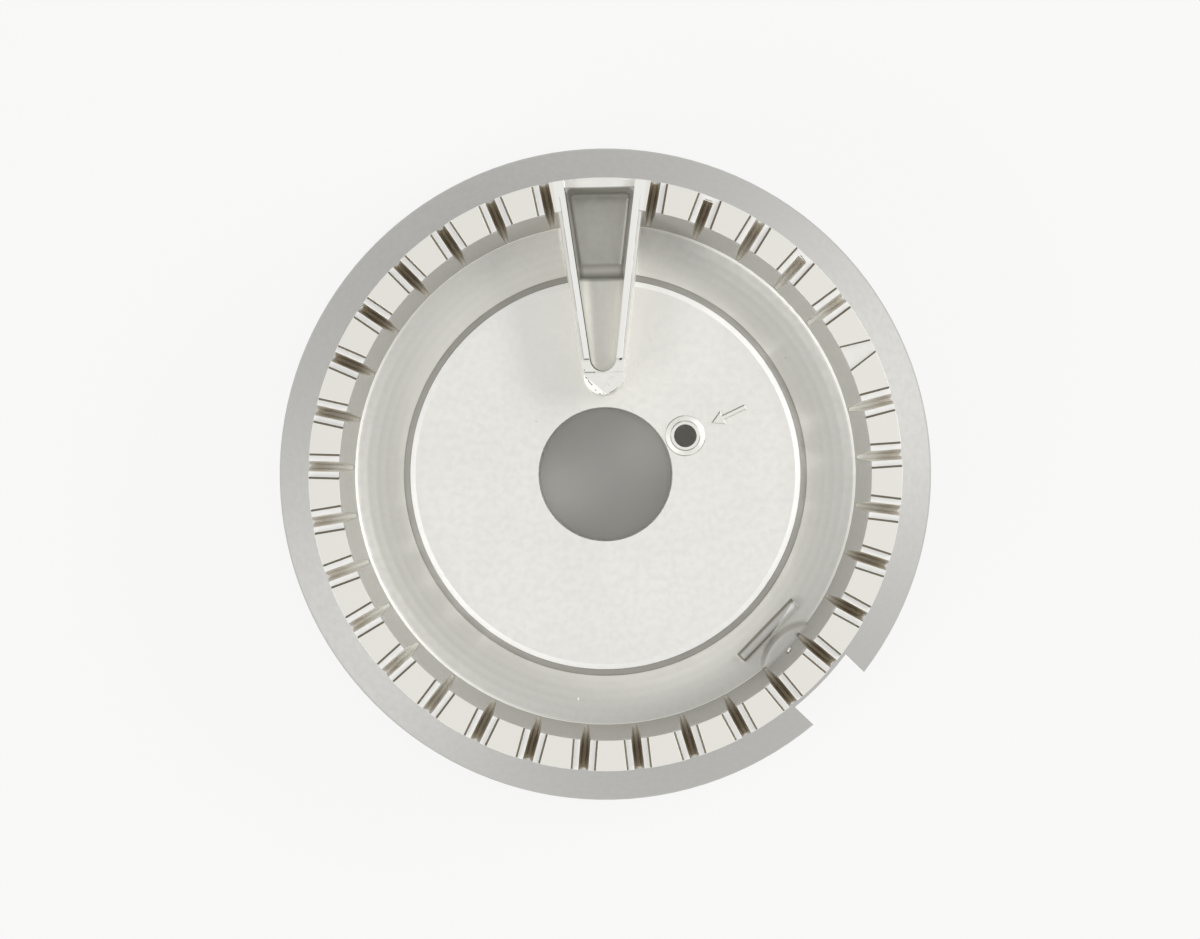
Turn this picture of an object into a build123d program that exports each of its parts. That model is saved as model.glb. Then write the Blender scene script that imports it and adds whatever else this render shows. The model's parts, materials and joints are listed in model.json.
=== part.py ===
from build123d import *
import math
import os

os.makedirs("parts", exist_ok=True)

# Gas burner base: one aluminium die casting that holds the burner cap on a ring of flame ports.
# Millimetres, +Z up. The origin is on the burner's axis, level with the foot of the inlet collar.
# The simmer chamber points along +Y and the igniter notch lies halfway between +X and -Y.

# Inlet collar and centre disc
bore_diameter = 23.5
collar_wall = 1.6
collar_height = 12.2
collar_edge = 0.3
collar_root = 0.8
disc_diameter = 66.4
disc_thickness = 2.4
shoulder_width = 0.9
shoulder_drop = 0.3

# Gas trough between the disc and the port ring
trough_slope_width = 1.2
trough_width = 8.4
trough_drop = 1.4
trough_dip = 0.9
trough_runs = 5
trough_foot = 0.35
shell = 2.2

# Port ring that carries the cap
ring_slope_width = 2.5
ring_width = 5.3
ring_height = 8.2
ring_draft_angle = 2.5

# Sloping flange
flange_width = 6.0
flange_sink = 0.2
flange_slope_angle = 45.0
flange_thickness = 1.7
flange_edge = 0.4

# Flame ports: a tall tapered slot under a wide shallow step, repeated round the ring
port_places = 33
port_width = 1.78
port_foot_width = 0.6
port_floor_rise = 0.7
step_width = 4.45
step_slope_width = 0.38
step_depth = 0.8

# Simmer chamber: two walls that close in on a round nose, with a deep pocket at the ring
chamber_flare_angle = 7.4
chamber_nose_radius = 2.15
chamber_nose_wall = 4.1
chamber_draft_angle = 1.5
chamber_ledge_width = 0.55
chamber_ledge_drop = 0.35
channel_side_height = 0.8
pocket_length = 15.9
pocket_depth = 8.4
pocket_corner = 0.9
pocket_draft_angle = 4.0
pocket_ramp = 2.4
pocket_fillet = 0.8
sill_width = 1.7
sill_drop = 1.2

# Casting gate at the chamber's nose, trimmed in two levels and broken off at one corner
gate_radius = 3.45
gate_gap = 2.1
gate_step_length = 6.25
gate_step_drop = 0.6
gate_pad_length = 3.95
gate_pad_drop = 0.9
gate_break_angle = 228.0
gate_break_slope_angle = 42.0
gate_break_width = 1.18

# Plain block with a shallow wedge mark, in place of one port
wedge_place = 27
wedge_inner_width = 4.6
wedge_outer_width = 1.45
wedge_depth = 0.5
wedge_draft_angle = 31.0

# Casting flash left across the mouths of two ports
flash_places = (29, 31)
flash_reach = 0.9
flash_height = 0.8

# Igniter notch, its pocket under the ring, its raised roof in the trough and its small port
igniter_angle = -45.0
notch_width = 12.9
notch_root = 0.8
igniter_circle_radius = 10.0
igniter_circle_inset = 0.7
igniter_wall = 1.6
igniter_roof_rise = 1.4
igniter_roof_thickness = 2.0
igniter_roof_angle = 25.0
igniter_port_diameter = 1.3
igniter_port_rise = 2.6

# Baffle rib in the trough in front of the igniter
rib_length = 13.7
rib_width = 2.0
rib_height = 1.2
rib_draft_angle = 20.0

# Locating pin hole beside the bore, with a raised arrow that points at it
pin_diameter = 4.0
pin_rim = 0.5
pin_flank = 1.05
pin_boss_height = 0.5
pin_boss_depth = 3.0
pin_boss_wall = 1.2
pin_gap = 0.15
arrow_gap = 1.45
arrow_head_length = 2.4
arrow_head_width = 2.7
arrow_length = 6.75
arrow_shaft_width = 0.95
arrow_height = 0.25
arrow_draft_angle = 40.0

# Cutters run this far past the faces they open
clearance = 1.0

# Radii, from the axis outwards
bore_radius = bore_diameter / 2
collar_radius = bore_radius + collar_wall
disc_radius = disc_diameter / 2
shoulder_radius = disc_radius + shoulder_width
trough_inner_radius = shoulder_radius + trough_slope_width
trough_outer_radius = trough_inner_radius + trough_width
trough_middle_radius = trough_inner_radius + trough_width / 2
ring_inner_radius = trough_outer_radius + ring_slope_width
ring_middle_radius = ring_inner_radius + ring_width / 2
ring_outer_radius = ring_inner_radius + ring_width
flange_radius = ring_outer_radius + flange_width

# Heights, from the collar's foot upwards
disc_top = collar_height + disc_thickness
trough_edge = disc_top - trough_drop
trough_floor = trough_edge - trough_dip
ring_top = trough_edge + ring_height
step_floor = ring_top - step_depth
port_floor = trough_edge + port_floor_rise
igniter_roof = trough_edge + igniter_roof_rise
flange_root = trough_edge - flange_sink

# Slopes worked out from the angles
ring_slope = ring_slope_width / ring_height
ring_lean = math.tan(math.radians(ring_draft_angle))
flange_fall = math.tan(math.radians(flange_slope_angle))
chamber_flare = math.radians(chamber_flare_angle)
flange_root_radius = ring_outer_radius + (ring_top - flange_root) * ring_lean
flange_rim = flange_root - (flange_radius - flange_root_radius) * flange_fall
flange_skin = flange_thickness / math.cos(math.radians(flange_slope_angle))

# Places along the chamber's axis and round the ring
gate_nose = bore_radius + gate_gap
gate_centre = gate_nose + gate_radius
chamber_nose_centre = gate_nose + chamber_nose_wall + chamber_nose_radius
pocket_end = ring_outer_radius - sill_width
pocket_start = pocket_end - pocket_length
channel_axis_height = ring_top - channel_side_height
port_pitch = 360 / port_places
chamber_angle = 90.0
wedge_angle = chamber_angle + wedge_place * port_pitch
pin_rim_radius = pin_diameter / 2 + pin_rim
pin_boss_radius = pin_rim_radius + pin_flank
pin_centre = collar_radius + pin_gap + pin_diameter / 2
arrow_tip = pin_centre + pin_boss_radius + arrow_gap
arrow_inset = arrow_height * math.tan(math.radians(arrow_draft_angle))
igniter_circle_centre = ring_outer_radius - igniter_circle_inset

# Slanted face where the gate broke off, which falls away from its nose
break_way = Vector(1, 0, 0).rotate(Axis.Z, gate_break_angle)
gate_break_plane = Plane(
    origin=Vector(0, gate_centre, ring_top - gate_pad_drop) + break_way * (gate_radius - gate_break_width),
    x_dir=break_way.rotate(Axis.Z, 90),
    z_dir=Vector(0, 0, 1) + break_way * math.tan(math.radians(gate_break_slope_angle)),
)


def place_angles(left_out):
    """Angles of the port places round the ring, counted from the chamber, less those left out."""
    return [chamber_angle + place * port_pitch for place in range(port_places) if place not in left_out]


def turned(angles):
    """Locations on the burner's axis, turned to each angle."""
    return [Location((0, 0, 0), (0, 0, angle)) for angle in angles]


def level(height, angle=0):
    """A level plane on the burner's axis, with its x axis turned to an angle."""
    return Plane.XY.offset(height).rotated((0, 0, angle))


def trough_point(part):
    """A point on the trough's hollow, which sags evenly between its two edges."""
    sag = 4 * trough_dip * part * (1 - part)
    return (trough_inner_radius + part * (trough_width - trough_foot), trough_edge - sag)


def side_at(nose_radius, nose_centre, reach):
    """Half the width between the chamber's straight sides, at a distance along its axis."""
    return nose_radius / math.cos(chamber_flare) + (reach - nose_centre) * math.tan(chamber_flare)


def nosed_plan(nose_radius, nose_centre, reach):
    """A round nose that widens along two straight sides, out to a square end."""
    nose_side = nose_radius * math.cos(chamber_flare)
    nose_reach = nose_centre - nose_radius * math.sin(chamber_flare)
    end_side = side_at(nose_radius, nose_centre, reach)
    with BuildSketch() as plan:
        with BuildLine():
            Line((nose_side, nose_reach), (end_side, reach))
            Line((end_side, reach), (-end_side, reach))
            Line((-end_side, reach), (-nose_side, nose_reach))
            ThreePointArc((-nose_side, nose_reach), (0, nose_centre - nose_radius), (nose_side, nose_reach))
        make_face()
    return plan.sketch


def arrow_plan():
    """An arrow along the x axis, with its tip toward the locating pin hole."""
    with BuildSketch() as plan:
        with BuildLine():
            Polyline(
                (arrow_tip, 0),
                (arrow_tip + arrow_head_length, arrow_head_width / 2),
                (arrow_tip + arrow_head_length, arrow_shaft_width / 2),
                (arrow_tip + arrow_length, arrow_shaft_width / 2),
                (arrow_tip + arrow_length, -arrow_shaft_width / 2),
                (arrow_tip + arrow_head_length, -arrow_shaft_width / 2),
                (arrow_tip + arrow_head_length, -arrow_head_width / 2),
                close=True,
            )
        make_face()
    return plan.sketch


def flared_plan(start, end):
    """The space between the chamber's straight sides, from one distance along its axis to another."""
    start_side = side_at(chamber_nose_radius, chamber_nose_centre, start)
    end_side = side_at(chamber_nose_radius, chamber_nose_centre, end)
    with BuildSketch() as plan:
        with BuildLine():
            Polyline(
                (start_side, start),
                (end_side, end),
                (-end_side, end),
                (-start_side, start),
                close=True,
            )
        make_face()
    return plan.sketch


# Tapered slot of one port, on the +X side
with BuildPart() as port_slot:
    with BuildSketch(Plane.YZ.offset(trough_outer_radius)):
        with BuildLine():
            Polyline(
                (port_foot_width / 2, port_floor),
                (port_width / 2, step_floor),
                (port_width / 2, ring_top + clearance),
                (-port_width / 2, ring_top + clearance),
                (-port_width / 2, step_floor),
                (-port_foot_width / 2, port_floor),
                close=True,
            )
        make_face()
    extrude(amount=flange_radius - trough_outer_radius)

# Shallow step on the anticlockwise side of one port
with BuildPart() as port_step:
    with BuildSketch(Plane.YZ.offset(trough_outer_radius)):
        with BuildLine():
            Polyline(
                (0, step_floor),
                (step_width / 2 - step_slope_width, step_floor),
                (step_width / 2, ring_top),
                (step_width / 2, ring_top + clearance),
                (0, ring_top + clearance),
                close=True,
            )
        make_face()
    extrude(amount=flange_radius - trough_outer_radius)

# Casting flash across the mouth of one port
with BuildPart() as port_flash:
    with BuildSketch(Plane.YZ.offset(ring_outer_radius - flash_reach)):
        with Locations((0, step_floor)):
            Rectangle(port_width, flash_height, align=(Align.CENTER, Align.MAX))
    extrude(amount=flash_reach)

# Small port that feeds the igniter, through the ring
with BuildPart() as igniter_port:
    with BuildSketch(Plane.YZ.offset(trough_outer_radius)):
        with Locations((0, trough_edge + igniter_port_rise)):
            Circle(igniter_port_diameter / 2)
    extrude(amount=flange_radius - trough_outer_radius)

# Walls of the chamber, down to the trough
with BuildPart() as chamber_walls:
    with BuildSketch(Plane.XY):
        add(nosed_plan(gate_radius, gate_centre, ring_middle_radius))
    extrude(amount=ring_top)
    walls = chamber_walls.faces().filter_by(Axis.Z, reverse=True)
    draft(walls, Plane.XY.offset(ring_top), chamber_draft_angle)
    # Low ledge along the outside of the walls
    with BuildSketch(Plane.XY.offset(ring_top - chamber_ledge_drop)):
        add(nosed_plan(gate_radius + clearance, gate_centre, ring_middle_radius))
        add(nosed_plan(gate_radius - chamber_ledge_width, gate_centre, ring_middle_radius), mode=Mode.SUBTRACT)
    extrude(amount=chamber_ledge_drop + clearance, mode=Mode.SUBTRACT)

# Round-bottomed channel of the chamber
with BuildPart() as channel:
    with BuildSketch(Plane.XY.offset(channel_axis_height)):
        add(nosed_plan(chamber_nose_radius, chamber_nose_centre, pocket_start + clearance))
    extrude(amount=channel_side_height + clearance)
    with BuildSketch(Plane.XY.offset(channel_axis_height)):
        add(nosed_plan(chamber_nose_radius, chamber_nose_centre, pocket_start + clearance))
        Rectangle(ring_outer_radius, ring_outer_radius, align=(Align.MIN, Align.MIN), mode=Mode.INTERSECT)
    revolve(axis=Axis((0, 0, channel_axis_height), (0, 1, 0)))

# Deep pocket of the chamber
with BuildPart() as pocket:
    with BuildSketch(Plane.XY.offset(ring_top)):
        add(flared_plan(pocket_start, pocket_end))
    extrude(amount=-pocket_depth)
    pocket_sides = pocket.faces().filter_by(Axis.Z, reverse=True)
    draft(pocket_sides, Plane.XY.offset(ring_top), -pocket_draft_angle)
    chamfer(pocket.faces().sort_by(Axis.Z)[0].edges().sort_by(Axis.Y)[0], pocket_ramp)
    fillet(pocket.edges().filter_by(Axis.X, reverse=True).group_by(Axis.Y)[-1], pocket_corner)
    fillet(pocket.faces().sort_by(Axis.Z)[0].edges(), pocket_fillet)

# Roof of the igniter pocket, with a sloped side towards the axis
with BuildPart() as roof:
    with BuildSketch(level(trough_floor, igniter_angle)):
        Circle(ring_middle_radius)
        with Locations((igniter_circle_centre, 0)):
            Circle(igniter_circle_radius, mode=Mode.INTERSECT)
    extrude(amount=igniter_roof - trough_floor)
    roof_sides = roof.faces().filter_by(Axis.Z, reverse=True)
    draft(roof_sides, level(trough_floor, igniter_angle), igniter_roof_angle)

# Hollow under the casting: the underside of the disc, the trough, the ring and the flange
with BuildPart() as underside:
    with BuildSketch(Plane.XZ) as underside_profile:
        with BuildLine():
            Polyline(
                (collar_radius, -clearance),
                (collar_radius, collar_height - collar_root),
                (collar_radius + collar_root, collar_height),
                (disc_radius - shell, collar_height),
                (trough_inner_radius, trough_floor - shell),
                (trough_outer_radius, trough_floor - shell),
                (flange_root_radius, flange_root - flange_skin),
                (flange_radius, flange_rim - flange_skin),
                (flange_radius + clearance, flange_rim - flange_skin),
                (flange_radius + clearance, -clearance),
                close=True,
            )
        make_face()
    revolve(axis=Axis.Z)

# The casting
with BuildPart() as burner_base:
    # Turned form: bore, disc, trough, ring and flange, solid below for now
    with BuildSketch(Plane.XZ) as profile:
        with BuildLine():
            Polyline(
                (bore_radius, 0),
                (bore_radius, disc_top),
                (disc_radius, disc_top),
                (shoulder_radius, disc_top - shoulder_drop),
                trough_point(0),
            )
            Polyline(*[trough_point(run / trough_runs) for run in range(trough_runs + 1)])
            Polyline(
                trough_point(1),
                (trough_outer_radius + trough_foot * ring_slope, trough_edge + trough_foot),
                (ring_inner_radius, ring_top),
                (ring_outer_radius, ring_top),
                (flange_root_radius, flange_root),
                (flange_radius, flange_rim),
                (flange_radius, 0),
                (bore_radius, 0),
            )
        make_face()
        chamfer(profile.vertices().sort_by_distance((flange_radius, flange_rim))[0], flange_edge)
    revolve(axis=Axis.Z)

    add(chamber_walls.part)
    add(roof.part)

    # Baffle rib in front of the igniter
    with BuildSketch(level(trough_floor, igniter_angle)):
        with Locations((trough_middle_radius, 0)):
            Rectangle(rib_width, rib_length)
    extrude(amount=rib_height, taper=rib_draft_angle)

    # Boss of the locating pin hole, and the arrow that points at it
    with Locations(level(disc_top, wedge_angle) * Pos(pin_centre, 0, 0)):
        base = (Align.CENTER, Align.CENTER, Align.MIN)
        Cone(pin_boss_radius, pin_rim_radius, pin_boss_height, align=base)
    with BuildSketch(level(disc_top, wedge_angle)):
        add(arrow_plan())
    with BuildSketch(level(disc_top + arrow_height, wedge_angle)):
        add(arrow_plan())
        offset(amount=-arrow_inset, kind=Kind.INTERSECTION)
    loft(ruled=True)

    # Chamber hollow and its low sill in the ring
    add(channel.part, mode=Mode.SUBTRACT)
    add(pocket.part, mode=Mode.SUBTRACT)
    with BuildSketch(Plane.XY.offset(ring_top - sill_drop)):
        add(flared_plan(pocket_end - pocket_corner, flange_radius))
    extrude(amount=sill_drop + clearance, mode=Mode.SUBTRACT)

    # Gate trimmed in two levels, then broken off at its corner
    with BuildSketch(Plane.XY.offset(ring_top - gate_step_drop)):
        with Locations((0, gate_nose + gate_step_length)):
            Rectangle(4 * gate_radius, 2 * gate_step_length, align=(Align.CENTER, Align.MAX))
    extrude(amount=gate_step_drop + clearance, mode=Mode.SUBTRACT)
    with BuildSketch(Plane.XY.offset(ring_top - gate_pad_drop)):
        with Locations((0, gate_nose + gate_pad_length)):
            Rectangle(4 * gate_radius, 2 * gate_pad_length, align=(Align.CENTER, Align.MAX))
    extrude(amount=gate_pad_drop + clearance, mode=Mode.SUBTRACT)
    with BuildSketch(gate_break_plane):
        Rectangle(2 * gate_radius, gate_radius, align=(Align.CENTER, Align.MAX))
    extrude(amount=gate_radius, mode=Mode.SUBTRACT)

    # Flame ports, and a step on each side of them, except on the sides that face the chamber
    with Locations(*turned(place_angles((0, wedge_place)))):
        add(port_slot.part, mode=Mode.SUBTRACT)
    with Locations(*turned(place_angles((0, wedge_place, port_places - 1)))):
        add(port_step.part, mode=Mode.SUBTRACT)
    with Locations(*turned(place_angles((0, wedge_place, 1)))):
        add(mirror(port_step.part, Plane.XZ, mode=Mode.PRIVATE), mode=Mode.SUBTRACT)

    for place in flash_places:
        with Locations(*turned([chamber_angle + place * port_pitch])):
            add(port_flash.part)

    # Wedge mark on the plain block
    with BuildSketch(level(ring_top - wedge_depth, wedge_angle)):
        with BuildLine():
            Polyline(
                (ring_inner_radius - clearance, wedge_inner_width / 2),
                (ring_outer_radius + clearance, wedge_outer_width / 2),
                (ring_outer_radius + clearance, -wedge_outer_width / 2),
                (ring_inner_radius - clearance, -wedge_inner_width / 2),
                close=True,
            )
        make_face()
    extrude(amount=wedge_depth + clearance, taper=-wedge_draft_angle, mode=Mode.SUBTRACT)

    # Underside, then the bore's and the collar's edges broken at the foot
    add(underside.part, mode=Mode.SUBTRACT)
    chamfer(burner_base.faces().sort_by(Axis.Z)[0].edges(), collar_edge)

    # Notch through the flange, with a little of its root left on the ring
    with BuildSketch(level(0, igniter_angle)):
        Rectangle(flange_radius + clearance, notch_width, align=(Align.MIN, Align.CENTER))
        Circle(flange_root_radius + notch_root, mode=Mode.SUBTRACT)
    extrude(amount=ring_top, mode=Mode.SUBTRACT)

    # Igniter pocket under the ring, and the igniter's port
    with BuildSketch(level(igniter_roof - igniter_roof_thickness, igniter_angle)):
        Circle(ring_outer_radius - igniter_wall)
        with Locations((igniter_circle_centre, 0)):
            Circle(igniter_circle_radius - igniter_wall, mode=Mode.INTERSECT)
    extrude(amount=-ring_top, mode=Mode.SUBTRACT)
    with Locations(*turned([igniter_angle])):
        add(igniter_port.part, mode=Mode.SUBTRACT)

    # Locating pin hole, with a boss under the disc
    with Locations(level(disc_top, wedge_angle) * Pos(pin_centre, 0, 0)):
        below = (Align.CENTER, Align.CENTER, Align.MAX)
        Cylinder(pin_diameter / 2 + pin_boss_wall, disc_thickness + pin_boss_depth, align=below)
    with BuildSketch(level(0, wedge_angle)):
        with Locations((pin_centre, 0)):
            Circle(pin_diameter / 2)
    extrude(amount=ring_top, mode=Mode.SUBTRACT)

burner_base.part.label = "burner_base"
export_step(burner_base.part, "parts/burner_base.step")
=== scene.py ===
import json
import math
import random

import bmesh
import bpy
from mathutils import Matrix, Vector


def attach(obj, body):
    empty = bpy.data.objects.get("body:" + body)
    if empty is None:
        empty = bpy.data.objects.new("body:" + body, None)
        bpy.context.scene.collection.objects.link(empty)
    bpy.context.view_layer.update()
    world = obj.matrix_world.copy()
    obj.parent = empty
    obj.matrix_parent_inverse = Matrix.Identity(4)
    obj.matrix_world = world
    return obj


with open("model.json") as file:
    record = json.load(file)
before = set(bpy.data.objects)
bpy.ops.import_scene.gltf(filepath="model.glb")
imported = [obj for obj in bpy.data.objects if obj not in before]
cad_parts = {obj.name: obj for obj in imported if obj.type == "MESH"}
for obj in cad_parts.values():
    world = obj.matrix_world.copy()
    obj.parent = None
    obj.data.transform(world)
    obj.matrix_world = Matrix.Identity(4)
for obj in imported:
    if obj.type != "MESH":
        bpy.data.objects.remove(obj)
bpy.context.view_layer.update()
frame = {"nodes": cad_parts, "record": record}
scene = bpy.context.scene
scene.view_settings.view_transform = "Standard"

casting = frame["nodes"]["burner_base"]
mounts = {mount["name"]: mount for mount in frame["record"]["mounts"]}
MM = 0.001

# Levels of the casting in metres
RING_TOP = mounts["cap_seat"]["pos_m"][2]
GATE_STEP = RING_TOP - 0.6 * MM
STEP_FLOOR = RING_TOP - 0.8 * MM
GATE_PAD = RING_TOP - 0.9 * MM
SILL = RING_TOP - 1.2 * MM
TROUGH_EDGE = RING_TOP - 8.2 * MM
TROUGH_DIP = 0.9 * MM
PORT_FLOOR = TROUGH_EDGE + 0.7 * MM
DISC_TOP = TROUGH_EDGE + 1.4 * MM

# Radii in metres, from the axis outwards
BORE_RADIUS = mounts["gas_inlet"]["dims"]["r_mm"] * MM
DISC_RADIUS = 33.2 * MM
SHOULDER_RADIUS = DISC_RADIUS + 0.9 * MM
TROUGH_INNER_RADIUS = SHOULDER_RADIUS + 1.2 * MM
TROUGH_OUTER_RADIUS = TROUGH_INNER_RADIUS + 8.4 * MM
TROUGH_SPAN = 8.05 * MM
RING_INNER_RADIUS = TROUGH_OUTER_RADIUS + 2.5 * MM
RING_OUTER_RADIUS = RING_INNER_RADIUS + 5.3 * MM
RING_SLOPE = (RING_INNER_RADIUS - TROUGH_OUTER_RADIUS) / (RING_TOP - TROUGH_EDGE)
FLANGE_ROOT_RADIUS = RING_OUTER_RADIUS + 0.37 * MM

# Places round the ring, counted from the chamber
CHAMBER_DEGREES = 90
PORT_PITCH = 360 / 33
WEDGE_ANGLE = math.radians(CHAMBER_DEGREES + 27 * PORT_PITCH)
WEDGE_HALF_ANGLE = math.radians(4.5)
FLASH_DEGREES = [CHAMBER_DEGREES + place * PORT_PITCH for place in (29, 31)]
FLASH_INNER_RADIUS = RING_OUTER_RADIUS - 0.9 * MM

# The simmer chamber, which lies along +Y
CHAMBER_FLARE = math.radians(7.4)
GATE_RADIUS = 3.45 * MM
GATE_NOSE = BORE_RADIUS + 2.1 * MM
GATE_CENTRE = GATE_NOSE + GATE_RADIUS
GATE_PAD_Y = GATE_NOSE + 3.95 * MM
GATE_STEP_Y = GATE_NOSE + 6.25 * MM
CHANNEL_NOSE_RADIUS = 2.15 * MM
CHANNEL_NOSE_CENTRE = GATE_NOSE + 4.1 * MM + CHANNEL_NOSE_RADIUS
POCKET_END = RING_OUTER_RADIUS - 1.7 * MM
POCKET_START = POCKET_END - 15.9 * MM
LEDGE_WIDTH = 0.55 * MM

# The pin hole with its boss, and the rib that lies square to the igniter's direction
PIN = Vector(mounts["pin_hole"]["pos_m"])
PIN_RADIUS = mounts["pin_hole"]["dims"]["r_mm"] * MM
PIN_RIM_RADIUS = PIN_RADIUS + 0.5 * MM
PIN_BOSS_RADIUS = PIN_RIM_RADIUS + 1.05 * MM
IGNITER_ANGLE = math.radians(-45)
RIB_RADIUS = (TROUGH_INNER_RADIUS + TROUGH_OUTER_RADIUS) / 2
RIB_HALF_LENGTH = 13.7 * MM / 2
RIB_HALF_WIDTH = 2.0 * MM / 2

# View of the photograph: straight down on a table, with the part turned a little
IMAGE_WIDTH = 1200
PIXELS_PER_METRE = 5615
CAMERA_HEIGHT = 0.80
CAMERA_OFFSET = (-0.93 * MM, 0.84 * MM)
CAMERA_TURN = math.radians(-1.15)
SENSOR_WIDTH = 36.0


# Node helpers

def add_node(tree, kind, **settings):
    """Adds a node and sets its properties."""
    made = tree.nodes.new(kind)
    for name, value in settings.items():
        setattr(made, name, value)
    return made


def feed(tree, socket, value):
    """Sets an input socket, or links it to another node's output."""
    if isinstance(value, bpy.types.NodeSocket):
        tree.links.new(value, socket)
    else:
        socket.default_value = value


def maths(tree, operation, *values):
    """A maths node on one to three values, and its output."""
    made = add_node(tree, "ShaderNodeMath", operation=operation)
    for socket, value in zip(made.inputs, values):
        feed(tree, socket, value)
    return made.outputs[0]


def above(tree, value, limit):
    """One where a value is greater than a limit."""
    return maths(tree, "GREATER_THAN", value, limit)


def below(tree, value, limit):
    """One where a value is less than a limit."""
    return maths(tree, "LESS_THAN", value, limit)


def every(tree, *masks):
    """One where all the masks are one."""
    result = masks[0]
    for mask in masks[1:]:
        result = maths(tree, "MULTIPLY", result, mask)
    return result


def outside(tree, mask):
    """One where a mask is nought."""
    return maths(tree, "SUBTRACT", 1.0, mask)


def between(tree, value, low, high):
    """One where a value lies between two others."""
    return every(tree, above(tree, value, low), below(tree, value, high))


def from_edge(edge, span):
    """Two limits, from how far each lies beyond an edge."""
    return [edge + reach for reach in span]


def length_of(tree, one, two):
    """The length of a way whose two square parts are given."""
    squares = [maths(tree, "MULTIPLY", part, part) for part in (one, two)]
    return maths(tree, "SQRT", maths(tree, "ADD", *squares))


def reach_towards(tree, x, y, angle):
    """How far a point lies from the axis in one direction."""
    part = maths(tree, "MULTIPLY", x, math.cos(angle))
    return maths(tree, "MULTIPLY_ADD", y, math.sin(angle), part)


def blend(tree, kind, factor, low, high):
    """A mix of two colours or two values."""
    made = add_node(tree, "ShaderNodeMix", data_type=kind)
    for name, value in (("Factor", factor), ("A", low), ("B", high)):
        feed(tree, made.inputs[name], value)
    return made.outputs["Result"]


def blend_colour(tree, factor, low, high):
    """A colour between two others."""
    return blend(tree, "RGBA", factor, low, high)


def blend_value(tree, factor, low, high):
    """A value between two others."""
    return blend(tree, "FLOAT", factor, low, high)


def spread(tree, value, from_low, from_high, to_low, to_high):
    """Moves a value from one range to another, held at the ends."""
    made = add_node(tree, "ShaderNodeMapRange", interpolation_type="SMOOTHSTEP")
    for socket, setting in zip(made.inputs, (value, from_low, from_high, to_low, to_high)):
        feed(tree, socket, setting)
    return made.outputs[0]


def noise(tree, place, scale, detail):
    """Even noise from 0 to 1 at a scale per metre."""
    made = add_node(tree, "ShaderNodeTexNoise")
    for name, value in (("Vector", place), ("Scale", scale), ("Detail", detail)):
        feed(tree, made.inputs[name], value)
    return made.outputs["Fac"]


# Cast aluminium: a fine matt skin, with the tops of the port ring turned flat. Many region tones
# below are painted shade and painted highlights.

SKIN_COLOUR = (0.87, 0.86, 0.82, 1)
SKIN_PALE_COLOUR = (0.89, 0.88, 0.84, 1)
TROUGH_COLOUR = (0.87, 0.86, 0.81, 1)
TROUGH_FOOT_SHADE_COLOUR = (0.63, 0.62, 0.585, 1)
CHANNEL_COLOUR = (0.82, 0.81, 0.765, 1)
POCKET_SHADE_COLOUR = (0.72, 0.71, 0.67, 1)
POCKET_EDGE_SHADE_COLOUR = (0.44, 0.43, 0.40, 1)
POCKET_HIGHLIGHT_COLOUR = (0.95, 0.94, 0.90, 1)
SIDE_SHADE_COLOUR = (0.56, 0.55, 0.52, 1)
STEEP_SHADE_COLOUR = (0.74, 0.73, 0.69, 1)
BORE_SHADE_COLOUR = (0.68, 0.67, 0.63, 1)
FLANGE_SKIN_AND_SHADE_COLOUR = (0.56, 0.555, 0.535, 1)
RIB_SHADE_COLOUR = (0.60, 0.59, 0.56, 1)
PALE_AND_HIGHLIGHT_COLOUR = (0.95, 0.945, 0.92, 1)
TURNED_COLOUR = (0.90, 0.885, 0.83, 1)
PORT_SHADE_COLOUR = (0.56, 0.50, 0.39, 1)
PORT_LIT_COLOUR = (0.97, 0.96, 0.92, 1)
PORT_LIT_MOUTH_COLOUR = (0.80, 0.765, 0.695, 1)
EDGE_SHADE_COLOUR = (0.36, 0.34, 0.295, 1)
CHANNEL_SHADE_COLOUR = (0.11, 0.105, 0.085, 1)
STEP_SHADE_COLOUR = (0.22, 0.195, 0.15, 1)
SKIN_ROUGHNESS = 0.64
SKIN_ROUGHNESS_CHANGE = 0.04
TURNED_ROUGHNESS = 0.58

# Scales of the metal's noise, per metre, and the strengths of its marks
BLOTCH_SCALE = 60
STREAK_SCALE = 260
ROUGHNESS_SCALE = 900
GRAIN_SCALE = 3500
GRAIN_STRENGTH = 0.12
GRAIN_HEIGHT = 0.03 * MM
FAINT_LINE = 0.45
LIT_PORT_END_STRENGTH = 0.6
FOOT_LINE_STRENGTHS = (0.1, 0.55)
CHANNEL_LINE_STRENGTHS = (1, 0.25)
POCKET_OUTER_STRENGTH = 0.8
POCKET_SIDE_STRENGTH = 0.6

# Softness of the edges that the light shows, in metres
EDGE_SAMPLES = 6
EDGE_RADIUS = 0.12 * MM
TROUGH_EDGE_RADIUS = 0.9 * MM
HOLLOW_EDGE_RADIUS = 0.5 * MM

# A face is sloped, the side of a rib or steep when its normal points up by less than this
SLOPED = 0.97
RIB_SIDE = 0.9
STEEP = 0.4

# The direction along which the ports carry painted light, and how near to it they begin to do so
PORT_LIGHT_ANGLE = math.radians(20)
LIT_PORT_RANGE = (0.62, 0.97)
FOOT_LINE_RANGE = (0.4, 0.85)

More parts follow.
